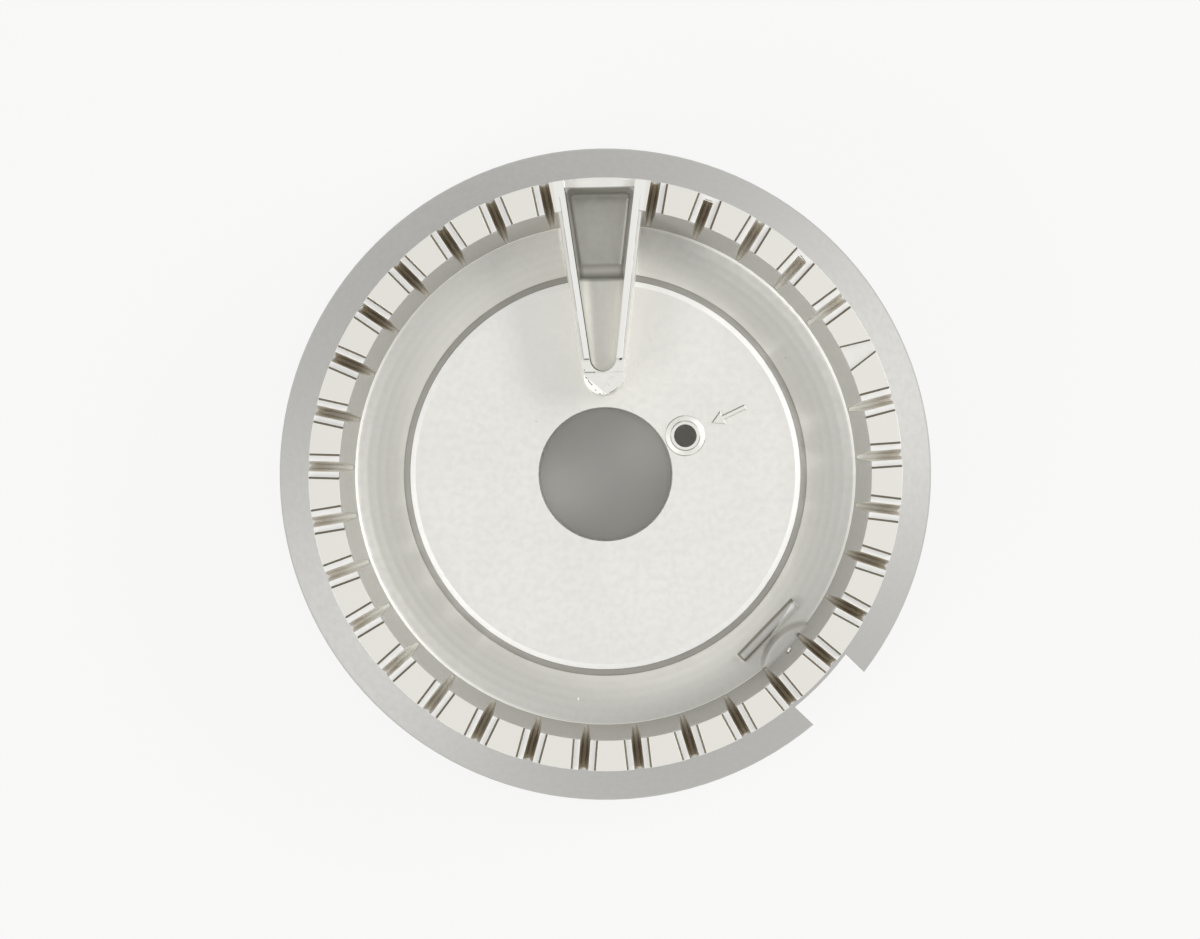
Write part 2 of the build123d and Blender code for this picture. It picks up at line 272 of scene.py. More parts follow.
# How far the marked regions reach past the edges that they follow, in metres
SLACK = 0.05 * MM
PORT_TOP_SLACK = 0.03 * MM
PORT_MARGIN = 0.2 * MM
CHAMBER_MARGIN = 0.3 * MM
BORE_MARGIN = 0.3 * MM
PIN_MARGIN = 0.1 * MM
HOLLOW_MARGIN = 0.1 * MM
HOLLOW_DEPTH = 1.0 * MM
WALL_FOOT = 0.4 * MM
TROUGH_CLEARANCE = 1.5 * MM
RIB_CLEARANCE = 0.02 * MM
LIT_PORT_END = (-1.5 * MM, 2.0 * MM)
PORT_PALE_END = 0.5 * MM
PORT_MOUTH_END = 1.0 * MM
STEP_TOP_LINE = (0, 0.2 * MM)
STEP_FOOT_LINE = (-0.22 * MM, 0)
FOOT_LINE = (-0.3 * MM, 0.08 * MM)
ARROW_LEVELS = (0.01 * MM, 0.24 * MM)
PIN_RIM_LINE = (-0.02 * MM, 0.16 * MM)
PIN_BOSS_LINE = (-0.14 * MM, 0.02 * MM)
LEDGE_LINE = (-0.02 * MM, 0.14 * MM)
LEDGE_LINE_DEPTH = 1.4 * MM
LEDGE_LINE_END = 2.0 * MM
CHANNEL_LINE = (-0.14 * MM, 0.16 * MM)
CHANNEL_LINE_DEPTH = 0.25 * MM
CHANNEL_LINE_SIDES = (-1.6 * MM, 1.6 * MM)
CHANNEL_LINE_TILT = 10.0
CHANNEL_LINE_FADE = (20 * MM, 40 * MM)
POCKET_BLEND = (-0.5 * MM, 0.1 * MM)
POCKET_RAMP_FADE = (1.7 * MM, 2.9 * MM)
POCKET_RAMP_RISE = (0.3 * MM, 1.8 * MM)
POCKET_SHINE = (-1.08 * MM, -0.78 * MM)
POCKET_SHINE_START = 2.8 * MM
POCKET_SHINE_END = 1.6 * MM
POCKET_OUTER_FADE = (-3.0 * MM, -0.6 * MM)
POCKET_SIDE_FADE = (-1.3 * MM, -0.5 * MM)

# The rib's painted highlight: how fast its edge runs from one side to the other, and how soft it is
RIB_SHINE_TILT = 1.3
RIB_SHINE_RANGE = (0.72, 1.08)
ARROW_SHADE_RANGE = (-0.5, 0.4)
ARROW_SHADE_STRENGTHS = (0.3, 1)


def beyond_side(tree, across, y, nose_radius, nose_centre):
    """How far a point lies outside two flared sides, measured across the chamber."""
    half = maths(
        tree,
        "MULTIPLY_ADD",
        maths(tree, "SUBTRACT", y, nose_centre),
        math.tan(CHAMBER_FLARE),
        nose_radius / math.cos(CHAMBER_FLARE),
    )
    return maths(tree, "SUBTRACT", across, half)


def make_cast_aluminium():
    """The casting's metal, with a tone for each of its regions; many of these tones are painted
    shade and painted highlights.
    """
    material = bpy.data.materials.new("cast_aluminium")
    material.use_nodes = True
    tree = material.node_tree
    tree.nodes.clear()
    shader = add_node(tree, "ShaderNodeBsdfPrincipled")
    output = add_node(tree, "ShaderNodeOutputMaterial")
    tree.links.new(shader.outputs[0], output.inputs["Surface"])
    shader.inputs["Metallic"].default_value = 1.0

    place = add_node(tree, "ShaderNodeTexCoord").outputs["Object"]
    axes = add_node(tree, "ShaderNodeSeparateXYZ")
    tree.links.new(place, axes.inputs[0])
    x, y, z = axes.outputs
    radius = length_of(tree, x, y)
    facing = add_node(tree, "ShaderNodeSeparateXYZ")
    normal = add_node(tree, "ShaderNodeNewGeometry").outputs["True Normal"]
    tree.links.new(normal, facing.inputs[0])
    facing_x, facing_y, upward = facing.outputs

    # The chamber: how far a point lies outside its flared sides, measured across it
    across = maths(tree, "ABSOLUTE", x)
    beyond_wall = beyond_side(tree, across, y, GATE_RADIUS, GATE_CENTRE)
    beyond_channel = beyond_side(tree, across, y, CHANNEL_NOSE_RADIUS, CHANNEL_NOSE_CENTRE)
    in_chamber = every(tree, above(tree, y, GATE_NOSE), below(tree, beyond_wall, CHAMBER_MARGIN))
    beside_chamber = outside(tree, in_chamber)
    sloped = below(tree, upward, SLOPED)
    steep = below(tree, upward, STEEP)

    # The ring: turned tops, cast ledges beside the ports, ports in painted shade with painted light
    # along one direction and at their inner ends, and step sides in painted shade
    turned = above(tree, z, RING_TOP - SLACK)
    on_ring = between(tree, radius, RING_INNER_RADIUS + SLACK, RING_OUTER_RADIUS - SLACK)
    below_top = between(tree, z, STEP_FLOOR - SLACK, RING_TOP - SLACK)
    wedge_side = maths(tree, "DIVIDE", reach_towards(tree, x, y, WEDGE_ANGLE), radius)
    beside_wedge = below(tree, wedge_side, math.cos(WEDGE_HALF_ANGLE))
    ledge = every(tree, on_ring, below_top, outside(tree, sloped), beside_wedge)
    step_side = every(tree, on_ring, below_top, sloped)
    wall_radius = maths(
        tree,
        "MULTIPLY_ADD",
        maths(tree, "SUBTRACT", z, TROUGH_EDGE),
        RING_SLOPE,
        TROUGH_OUTER_RADIUS + PORT_MARGIN,
    )
    port = every(
        tree,
        above(tree, radius, wall_radius),
        below(tree, radius, RING_OUTER_RADIUS - SLACK),
        between(tree, z, PORT_FLOOR - SLACK, STEP_FLOOR - PORT_TOP_SLACK),
        beside_chamber,
    )
    light_reach = reach_towards(tree, x, y, PORT_LIGHT_ANGLE)
    light_side = maths(tree, "ABSOLUTE", maths(tree, "DIVIDE", light_reach, radius))
    lit_end_limits = from_edge(RING_INNER_RADIUS, LIT_PORT_END)
    lit_end = spread(tree, radius, *lit_end_limits, LIT_PORT_END_STRENGTH, 0)
    lit_way = spread(tree, light_side, *LIT_PORT_RANGE, 0, 1)
    lit_port = maths(tree, "MAXIMUM", lit_way, lit_end)
    # The ring's inner wall, which gets painted shade
    inner_wall = every(
        tree,
        between(tree, radius, TROUGH_OUTER_RADIUS, RING_INNER_RADIUS + SLACK),
        between(tree, z, TROUGH_EDGE + WALL_FOOT, RING_TOP - SLACK),
        beside_chamber,
    )

    # The flange, the trough and the step down to it from the disc; painted shade falls on the step,
    # its edges and the trough, and painted highlights on the shoulder and along the wall's foot
    flange = above(tree, radius, FLANGE_ROOT_RADIUS)
    on_shoulder = between(tree, radius, DISC_RADIUS, SHOULDER_RADIUS)
    shoulder = every(tree, on_shoulder, beside_chamber)
    on_disc_step = between(tree, radius, SHOULDER_RADIUS, TROUGH_INNER_RADIUS)
    disc_step = every(tree, on_disc_step, beside_chamber)
    step_top_line = between(tree, radius, *from_edge(SHOULDER_RADIUS, STEP_TOP_LINE))
    step_foot_line = between(tree, radius, *from_edge(TROUGH_INNER_RADIUS, STEP_FOOT_LINE))
    step_lines = every(tree, maths(tree, "MAXIMUM", step_top_line, step_foot_line), beside_chamber)
    in_trough = every(
        tree,
        between(tree, radius, TROUGH_INNER_RADIUS, TROUGH_OUTER_RADIUS),
        below(tree, z, TROUGH_EDGE + TROUGH_CLEARANCE),
        beside_chamber,
    )
    foot_line = every(
        tree,
        between(tree, radius, *from_edge(TROUGH_OUTER_RADIUS, FOOT_LINE)),
        below(tree, z, TROUGH_EDGE + WALL_FOOT),
        beside_chamber,
        spread(tree, light_side, *FOOT_LINE_RANGE, *FOOT_LINE_STRENGTHS),
    )

    # The rib in the trough, in painted shade with a painted highlight at one end
    outward = reach_towards(tree, x, y, IGNITER_ANGLE)
    along = reach_towards(tree, x, y, IGNITER_ANGLE + math.pi / 2)
    rib = every(
        tree,
        between(tree, outward, RIB_RADIUS - RIB_HALF_WIDTH, RIB_RADIUS + RIB_HALF_WIDTH),
        between(tree, along, -RIB_HALF_LENGTH, RIB_HALF_LENGTH),
        above(tree, z, TROUGH_EDGE - TROUGH_DIP + RIB_CLEARANCE),
    )
    beyond_rib = maths(tree, "SUBTRACT", outward, RIB_RADIUS)
    rib_across = maths(tree, "DIVIDE", beyond_rib, RIB_HALF_WIDTH)
    rib_tilt = maths(tree, "MULTIPLY_ADD", along, RIB_SHINE_TILT / RIB_HALF_LENGTH, rib_across)
    rib_shine = spread(tree, rib_tilt, *RIB_SHINE_RANGE, 0, 1)
    rib_side = every(tree, rib, below(tree, upward, RIB_SIDE), outside(tree, rib_shine))

    # The pin hole's boss and the raised arrow beside it, with painted shade on the arrow's sides
    # and at the boss's edges
    pin_x = maths(tree, "SUBTRACT", x, PIN.x)
    pin_y = maths(tree, "SUBTRACT", y, PIN.y)
    from_pin = length_of(tree, pin_x, pin_y)
    beside_pin = above(tree, from_pin, PIN_RIM_RADIUS)
    arrow_facing = maths(tree, "SUBTRACT", facing_y, facing_x)
    arrow_side = every(
        tree,
        sloped,
        between(tree, z, *from_edge(DISC_TOP, ARROW_LEVELS)),
        below(tree, radius, DISC_RADIUS),
        above(tree, from_pin, PIN_BOSS_RADIUS + PIN_MARGIN),
        beside_chamber,
        spread(tree, arrow_facing, *ARROW_SHADE_RANGE, *ARROW_SHADE_STRENGTHS),
    )
    pin_rim_line = between(tree, from_pin, *from_edge(PIN_RIM_RADIUS, PIN_RIM_LINE))
    pin_boss_line = between(tree, from_pin, *from_edge(PIN_BOSS_RADIUS, PIN_BOSS_LINE))
    pin_lines = every(
        tree,
        above(tree, z, DISC_TOP - SLACK),
        maths(tree, "MAXIMUM", pin_rim_line, pin_boss_line),
    )

    # Painted shade: dark lines along the chamber's walls, at the channel's edge and at the ledge's
    # root
    ledge_line = every(
        tree,
        above(tree, z, RING_TOP - LEDGE_LINE_DEPTH),
        between(tree, beyond_wall, *from_edge(-LEDGE_WIDTH, LEDGE_LINE)),
        between(tree, y, CHANNEL_NOSE_CENTRE, RING_INNER_RADIUS + LEDGE_LINE_END),
    )
    nose_y = maths(tree, "SUBTRACT", y, CHANNEL_NOSE_CENTRE)
    beyond_nose = maths(tree, "SUBTRACT", length_of(tree, x, nose_y), CHANNEL_NOSE_RADIUS)
    beyond_edge = blend_value(tree, above(tree, nose_y, 0.0), beyond_nose, beyond_channel)
    rim_level = blend_value(tree, above(tree, y, GATE_STEP_Y), GATE_PAD, RING_TOP)
    below_rim = maths(tree, "SUBTRACT", rim_level, z)
    line_tilt = maths(tree, "MULTIPLY_ADD", x, CHANNEL_LINE_TILT, y)
    channel_shade_line = every(
        tree,
        below(tree, below_rim, CHANNEL_LINE_DEPTH),
        between(tree, beyond_edge, *CHANNEL_LINE),
        between(tree, y, GATE_NOSE, POCKET_END),
        spread(tree, x, *CHANNEL_LINE_SIDES, *CHANNEL_LINE_STRENGTHS),
        spread(tree, line_tilt, *from_edge(POCKET_START, CHANNEL_LINE_FADE), 1, 0),
    )

    # The hollow of the chamber: the channel, and the pocket with painted shade on its floor and
    # edges and painted highlights up its ramp and along one side
    hollow = every(
        tree,
        below(tree, beyond_edge, HOLLOW_MARGIN),
        between(tree, y, GATE_NOSE, POCKET_END + HOLLOW_MARGIN),
        below(tree, z, RING_TOP - HOLLOW_DEPTH),
    )
    pocket = spread(tree, y, *from_edge(POCKET_START, POCKET_BLEND), 0, 1)
    pocket_ramp = spread(tree, y, *from_edge(POCKET_START, POCKET_RAMP_FADE), 1, 0)
    pocket_ramp_rise = spread(tree, y, *from_edge(POCKET_START, POCKET_RAMP_RISE), 0, 1)
    pocket_shine = every(
        tree,
        above(tree, x, 0.0),
        between(tree, beyond_channel, *POCKET_SHINE),
        between(tree, y, POCKET_START + POCKET_SHINE_START, POCKET_END - POCKET_SHINE_END),
    )
    outer_limits = from_edge(POCKET_END, POCKET_OUTER_FADE)
    pocket_outer_shade = spread(tree, y, *outer_limits, 0, POCKET_OUTER_STRENGTH)
    pocket_side_shade = spread(tree, beyond_channel, *POCKET_SIDE_FADE, 0, POCKET_SIDE_STRENGTH)
    pocket_edge_shade = maths(tree, "MAXIMUM", pocket_outer_shade, pocket_side_shade)

    # Colour, from the plain skin to the marked regions, most of which carry painted shade or
    # painted highlights
    blotches = spread(tree, noise(tree, place, BLOTCH_SCALE, 3), 0.3, 0.7, 0, 1)
    streaks = spread(tree, noise(tree, place, STREAK_SCALE, 2), 0.35, 0.6, 0.25, 1)
    colour = blend_colour(tree, blotches, SKIN_COLOUR, SKIN_PALE_COLOUR)
    # Painted shade on steep faces, except in the pin hole
    colour = blend_colour(tree, every(tree, steep, beside_pin), colour, STEEP_SHADE_COLOUR)
    # Painted shade on the bore's wall
    bore_wall = every(tree, steep, below(tree, radius, BORE_RADIUS + BORE_MARGIN))
    colour = blend_colour(tree, bore_wall, colour, BORE_SHADE_COLOUR)
    # Painted shade in the trough, darker towards the ring's wall
    trough_part = spread(tree, radius, TROUGH_INNER_RADIUS, TROUGH_OUTER_RADIUS, 0, 1)
    trough_tone = blend_colour(tree, trough_part, TROUGH_COLOUR, TROUGH_FOOT_SHADE_COLOUR)
    colour = blend_colour(tree, in_trough, colour, trough_tone)
    # The pocket: painted shade on its floor, its edges and the foot of its ramp, painted highlights
    # up the ramp and along one side
    ramp_tone = blend_colour(tree, pocket_ramp_rise, POCKET_EDGE_SHADE_COLOUR, POCKET_HIGHLIGHT_COLOUR)
    pocket_tone = blend_colour(tree, pocket_ramp, POCKET_SHADE_COLOUR, ramp_tone)
    pocket_tone = blend_colour(tree, pocket_edge_shade, pocket_tone, POCKET_EDGE_SHADE_COLOUR)
    pocket_tone = blend_colour(tree, pocket_shine, pocket_tone, POCKET_HIGHLIGHT_COLOUR)
    hollow_tone = blend_colour(tree, pocket, CHANNEL_COLOUR, pocket_tone)
    colour = blend_colour(tree, hollow, colour, hollow_tone)
    # Painted shade on the ring's inner wall and on the disc's step
    colour = blend_colour(tree, maths(tree, "MAXIMUM", inner_wall, disc_step), colour, SIDE_SHADE_COLOUR)
    # Painted highlight along the foot of the ring's wall, stronger along one direction
    colour = blend_colour(tree, foot_line, colour, PALE_AND_HIGHLIGHT_COLOUR)
    # The flange is greyer: partly a greyer skin, partly painted shade
    colour = blend_colour(tree, flange, colour, FLANGE_SKIN_AND_SHADE_COLOUR)
    # Pale ledges beside the ports, and a painted highlight on the disc's shoulder
    colour = blend_colour(tree, maths(tree, "MAXIMUM", ledge, shoulder), colour, PALE_AND_HIGHLIGHT_COLOUR)
    # The rib: painted shade, with a painted highlight towards one end
    rib_tone = blend_colour(tree, rib_shine, RIB_SHADE_COLOUR, PALE_AND_HIGHLIGHT_COLOUR)
    colour = blend_colour(tree, rib, colour, rib_tone)
    turned_tone = blend_colour(tree, in_chamber, TURNED_COLOUR, PALE_AND_HIGHLIGHT_COLOUR)
    colour = blend_colour(tree, turned, colour, turned_tone)
    # The ports: dark with painted shade, and pale with painted light along one direction and at
    # their inner ends
    port_ends = (RING_INNER_RADIUS + PORT_PALE_END, RING_OUTER_RADIUS - PORT_MOUTH_END)
    mouth = spread(tree, radius, *port_ends, 0, 1)
    lit_port_tone = blend_colour(tree, mouth, PORT_LIT_COLOUR, PORT_LIT_MOUTH_COLOUR)
    port_tone = blend_colour(tree, lit_port, PORT_SHADE_COLOUR, lit_port_tone)
    colour = blend_colour(tree, port, colour, port_tone)
    # Painted shade: dark lines at the disc's step, at the chamber's ledge and round the pin's boss,
    # varied by streaks
    soft_lines = maths(tree, "MAXIMUM", step_lines, ledge_line)
    faint_lines = maths(tree, "MULTIPLY", soft_lines, FAINT_LINE)
    all_lines = maths(tree, "MAXIMUM", faint_lines, pin_lines)
    lines = maths(tree, "MULTIPLY", all_lines, streaks)
    colour = blend_colour(tree, lines, colour, EDGE_SHADE_COLOUR)
    # Painted shade along the channel's edges, stronger on one side
    colour = blend_colour(tree, channel_shade_line, colour, CHANNEL_SHADE_COLOUR)
    # Painted shade on the rib's dim side and on the arrow's sides
    colour = blend_colour(tree, maths(tree, "MAXIMUM", rib_side, arrow_side), colour, EDGE_SHADE_COLOUR)
    # Painted shade on the small steep sides of the steps on the ring
    colour = blend_colour(tree, step_side, colour, STEP_SHADE_COLOUR)
    feed(tree, shader.inputs["Base Color"], colour)

    patches = noise(tree, place, ROUGHNESS_SCALE, 2)
    skin_roughness = spread(
        tree,
        patches,
        0.3,
        0.7,
        SKIN_ROUGHNESS - SKIN_ROUGHNESS_CHANGE,
        SKIN_ROUGHNESS + SKIN_ROUGHNESS_CHANGE,
    )
    roughness = blend_value(tree, turned, skin_roughness, TURNED_ROUGHNESS)
    feed(tree, shader.inputs["Roughness"], roughness)

    soft_edges = add_node(tree, "ShaderNodeBevel", samples=EDGE_SAMPLES)
    edge_radius = blend_value(tree, in_trough, EDGE_RADIUS, TROUGH_EDGE_RADIUS)
    edge_radius = blend_value(tree, hollow, edge_radius, HOLLOW_EDGE_RADIUS)
    feed(tree, soft_edges.inputs["Radius"], edge_radius)

    grain = add_node(tree, "ShaderNodeBump")
    feed(tree, grain.inputs["Strength"], GRAIN_STRENGTH)
    feed(tree, grain.inputs["Distance"], GRAIN_HEIGHT)
    feed(tree, grain.inputs["Height"], noise(tree, place, GRAIN_SCALE, 3))
    feed(tree, grain.inputs["Normal"], soft_edges.outputs[0])
    feed(tree, shader.inputs["Normal"], grain.outputs[0])
    return material


casting.data.materials.clear()
casting.data.materials.append(make_cast_aluminium())


# Flaws that the casting carries: burrs, flash, chips and the break where its gate was. The dark
# flaws are painted shade in chips, cracks and torn edges, and the bright tone of the burr at the
# igniter's port is painted light.

MOTTLE_SCALE = 2600
BRIGHT_TONES = ((0.93, 0.925, 0.90, 1), (0.97, 0.965, 0.945, 1))
BRIGHT_ROUGHNESS = 0.5
GREY_TONES = ((0.58, 0.57, 0.54, 1), (0.74, 0.73, 0.69, 1))
GREY_ROUGHNESS = 0.62
# Painted shade for chips, cracks and torn edges
DARK_TONES = ((0.10, 0.09, 0.07, 1), (0.30, 0.28, 0.235, 1))
DARK_ROUGHNESS = 0.7

# Forms of a grain and a ridge: the parts of its height and reach, and how much they vary
FLAW_SINK = 0.03 * MM
CRUMB_SIDES = 10
CRUMB_LEVELS = (0, 0.5, 0.85)
CRUMB_REACH = (0.8, 1.1)
RIDGE_STEP = 0.14 * MM
RIDGE_SIDES = 3
RIDGE_REACH = (0.5, 1.2)
RIDGE_CREST = (0.5, 1)

# The sloped face where the gate broke off
BREAK_ANGLE = math.radians(228)
BREAK_SLOPE = math.tan(math.radians(42))
BREAK_REACH = GATE_RADIUS - 1.18 * MM

# Flaws on the ring and in the trough, sizes in millimetres
BURR_PLACE = (44.5 * MM, -44.8, TROUGH_EDGE + 2.3 * MM)
BURR_SIZE = (1.0, 0.8, 0.24)
BURR_TURN = math.radians(45)
SWELLING_PLACE = (39.72 * MM, -98.07)
SWELLING_SIZE = (0.45, 0.9, 0.09)
SPECK_PLACE = (37.5 * MM, 31.7)
SPECK_SIZE = (0.5, 0.36, 0.08)
SILL_FLASH_RADIUS = RING_OUTER_RADIUS - 0.2 * MM
SILL_FLASH_DEGREES = (95, 92, 89, 86, 83)
SILL_FLASH_SIZE = (0.26, 0.3)
PORT_FLASH_TURNS = (0.85, 0.4, 0, -0.4, -0.85)
PORT_FLASH_REACH = (0.04, 0.3)
PORT_FLASH_SIZE = (0.24, 0.06)

# Flaws at the gate, in millimetres: places across and along, sizes, and turns in degrees
WALL_END = GATE_STEP_Y - 0.08 * MM
WALL_CHIP = (-3.4, -2.9, -2.35)
WALL_CHIP_SIZE = (0.24, 0.3)
WALL_CRUMBS = (
    ((3.05, -0.1), (0.6, 0.36, 0.3)),
    ((-3.3, -1.9), (0.2, 0.3, 0.1)),
)
PAD_TEAR = ((-3.3, 0), (-2.4, -0.06), (-1.3, -0.03))
PAD_TEAR_SIZE = (0.2, 0.32)
BREAK_CRACK = ((-3.1, 16.9), (-2.75, 16.6), (-2.5, 16.1), (-1.9, 15.45))
BREAK_CRACK_SIZE = (0.17, 0.08)
BREAK_CRUMBS = (
    ((-3.02, 16.85), (0.4, 0.26, 0.12), -40),
    ((-1.37, 14.66), (0.26, 0.24, 0.1), 0),
    ((-0.6, 14.02), (0.42, 0.2, 0.1), 0),
    ((-0.05, 14.05), (0.22, 0.18, 0.1), 0),
)
GATE_RIM_RADIUS = GATE_RADIUS - 0.12 * MM
GATE_RIM_DEGREES = (-42, -50, -58, -66, -75)
GATE_RIM_SIZE = (0.17, 0.06)

# Fine lines on the gate's pad, at the bore and on the disc, in millimetres
FAN_PLACE = Vector((-1.1 * MM, GATE_PAD_Y - 0.2 * MM, GATE_PAD))
FAN_DEGREES = (-14, -24, -34, -44, -54, -64)
FAN_START = 2.0 * MM
FAN_END = (2.9, 3.3)
FAN_BEND = 3
FAN_SIZE = (0.12, 0.05)
NICK_START = -11.95
NICKS = ((0.03, -12.15), (0.93, -12.65))
NICK_SIZE = (0.15, 0.04)
SCUFF = ((-12.3, 9.45), (-11.5, 9.48), (-11.0, 8.9))
SCUFF_SIZE = (0.2, 0.03)


def make_flaw_metal(name, tones, roughness):
    """Metal of a small flaw, mottled between two tones."""
    material = bpy.data.materials.new(name)
    material.use_nodes = True
    tree = material.node_tree
    shader = tree.nodes["Principled BSDF"]
    shader.inputs["Metallic"].default_value = 1.0
    shader.inputs["Roughness"].default_value = roughness
    place = add_node(tree, "ShaderNodeTexCoord").outputs["Object"]
    mottle = spread(tree, noise(tree, place, MOTTLE_SCALE, 2), 0.35, 0.65, 0, 1)
    feed(tree, shader.inputs["Base Color"], blend_colour(tree, mottle, *tones))
    return material


def in_metres(sizes):
    """Sizes in millimetres, as metres."""
    return [size * MM for size in sizes]


def on_ring_plan(radius, degrees, height):
    """A point at a radius and an angle round the axis."""
    around = math.radians(degrees)
    return Vector((radius * math.cos(around), radius * math.sin(around), height))


def on_trough(radius, degrees):
    """A point on the trough's hollow, at a radius and an angle round the axis."""
    part = (radius - TROUGH_INNER_RADIUS) / TROUGH_SPAN
    return on_ring_plan(radius, degrees, TROUGH_EDGE - 4 * TROUGH_DIP * part * (1 - part))


def on_break(place):
    """A point on the sloped face where the gate broke off, or on the pad beside it."""
    x, y = in_metres(place)
    along = (y - GATE_CENTRE) * math.sin(BREAK_ANGLE) + x * math.cos(BREAK_ANGLE)
    return Vector((x, y, GATE_PAD - max(along - BREAK_REACH, 0) * BREAK_SLOPE))


def on_disc(place):
    """A point on the disc's top."""
    return Vector((*in_metres(place), DISC_TOP))


def add_crumb(shape, chance, foot, sizes, turn=0):
    """A lumpy grain on a face: rings of points that close in to its top."""
    length, width, height = in_metres(sizes)
    spin = Matrix.Rotation(turn, 3, "Z")
    rings = []
    for part in CRUMB_LEVELS:
        ring = []
        for side in range(CRUMB_SIDES):
            around = 2 * math.pi * side / CRUMB_SIDES
            reach = math.sqrt(1 - part ** 2) * chance.uniform(*CRUMB_REACH) / 2
            plan = (length * reach * math.cos(around), width * reach * math.sin(around), 0)
            corner = spin @ Vector(plan)
            corner.z = part * height - FLAW_SINK
            ring.append(shape.verts.new(foot + corner))
        rings.append(ring)
    top = shape.verts.new(foot + Vector((0, 0, height)))
    shape.faces.new(reversed(rings[0]))
    for side in range(CRUMB_SIDES):
        for low, high in zip(rings, rings[1:]):
            shape.faces.new((low[side - 1], low[side], high[side], high[side - 1]))
        shape.faces.new((rings[-1][side - 1], rings[-1][side], top))


def add_ridge(shape, chance, line, sizes):
    """A jagged ridge along a line of points, pointed at both ends."""
    width, height = in_metres(sizes)
    path = []
    for start, end in zip(line, line[1:]):
        steps = max(2, round((end - start).length / RIDGE_STEP))
        path += [start.lerp(end, step / steps) for step in range(steps)]
    path.append(line[-1])
    sink = Vector((0, 0, FLAW_SINK))
    sections = []
    for before, point, after in zip(path, path[1:], path[2:]):
        way = (after - before).normalized()
        side = Vector((-way.y, way.x, 0)) * width / 2
        left = shape.verts.new(point + side * chance.uniform(*RIDGE_REACH) - sink)
        crest = shape.verts.new(point + Vector((0, 0, height * chance.uniform(*RIDGE_CREST))))
        right = shape.verts.new(point - side * chance.uniform(*RIDGE_REACH) - sink)
        sections.append((left, crest, right))
    for one, two in zip(sections, sections[1:]):
        for edge in range(RIDGE_SIDES):
            shape.faces.new((one[edge], one[edge - 1], two[edge - 1], two[edge]))
    first = shape.verts.new(path[0] - sink)
    last = shape.verts.new(path[-1] - sink)
    for edge in range(RIDGE_SIDES):
        shape.faces.new((first, sections[0][edge - 1], sections[0][edge]))
        shape.faces.new((last, sections[-1][edge], sections[-1][edge - 1]))


def make_flaw(name, material, build, seed):
    """A piece of the casting's flaws, from a function that adds its grains and ridges."""
    shape = bmesh.new()
    build(shape, random.Random(seed))
    bmesh.ops.recalc_face_normals(shape, faces=shape.faces)
    mesh = bpy.data.meshes.new(name)
    shape.to_mesh(mesh)
    shape.free()
    mesh.materials.append(material)
    piece = bpy.data.objects.new(name, mesh)
    scene.collection.objects.link(piece)
    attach(piece, "root")


def add_port_burr_and_glint(shape, chance):
    """A lump of metal on the lower edge of the igniter's port, bright with painted light that comes
    through the port.
    """
    add_crumb(shape, chance, on_ring_plan(*BURR_PLACE), BURR_SIZE, BURR_TURN)


def add_trough_grains(shape, chance):
    """A small pale swelling in the trough."""
    add_crumb(shape, chance, on_trough(*SWELLING_PLACE), SWELLING_SIZE)


def add_sill_flash(shape, chance):
    """A thin torn edge of flash along the outside of the chamber's sill."""
    line = [on_ring_plan(SILL_FLASH_RADIUS, degrees, SILL) for degrees in SILL_FLASH_DEGREES]
    add_ridge(shape, chance, line, SILL_FLASH_SIZE)


def add_gate_chips(shape, chance):
    """Chips at the ends of the chamber's walls, and the torn edges and crack of the broken gate,
    dark with painted shade.
    """
    chip = [Vector((x * MM, WALL_END, GATE_STEP)) for x in WALL_CHIP]
    add_ridge(shape, chance, chip, WALL_CHIP_SIZE)
    for (x, beyond), sizes in WALL_CRUMBS:
        foot = Vector((x * MM, WALL_END + beyond * MM, GATE_STEP))
        add_crumb(shape, chance, foot, sizes)
    tear = [Vector((x * MM, GATE_PAD_Y + beyond * MM, GATE_PAD)) for x, beyond in PAD_TEAR]
    add_ridge(shape, chance, tear, PAD_TEAR_SIZE)
    add_ridge(shape, chance, [on_break(place) for place in BREAK_CRACK], BREAK_CRACK_SIZE)
    for place, sizes, turn in BREAK_CRUMBS:
        add_crumb(shape, chance, on_break(place), sizes, math.radians(turn))
    centre = Vector((0, GATE_CENTRE, GATE_PAD))
    rim = [centre + on_ring_plan(GATE_RIM_RADIUS, degrees, 0) for degrees in GATE_RIM_DEGREES]
    add_ridge(shape, chance, rim, GATE_RIM_SIZE)


def add_fine_lines(shape, chance):
    """Fine lines on the gate's pad, at the bore and on the disc, and a speck in the trough."""
    for degrees in FAN_DEGREES:
        reach = chance.uniform(*FAN_END) * MM
        start = FAN_PLACE + on_ring_plan(FAN_START, degrees, 0)
        end = FAN_PLACE + on_ring_plan(reach, degrees - FAN_BEND, 0)
        add_ridge(shape, chance, [start, end], FAN_SIZE)
    for x, end in NICKS:
        add_ridge(shape, chance, [on_disc((x, NICK_START)), on_disc((x, end))], NICK_SIZE)
    add_ridge(shape, chance, [on_disc(place) for place in SCUFF], SCUFF_SIZE)
    add_crumb(shape, chance, on_trough(*SPECK_PLACE), SPECK_SIZE)


def add_flash_edges(shape, chance):
    """The torn edge of the flash across the mouths of two ports, dark with painted shade."""
    for degrees in FLASH_DEGREES:
        line = []
        for turn in PORT_FLASH_TURNS:
            radius = FLASH_INNER_RADIUS + chance.uniform(*PORT_FLASH_REACH) * MM
            line.append(on_ring_plan(radius, degrees + turn, STEP_FLOOR))
        add_ridge(shape, chance, line, PORT_FLASH_SIZE)


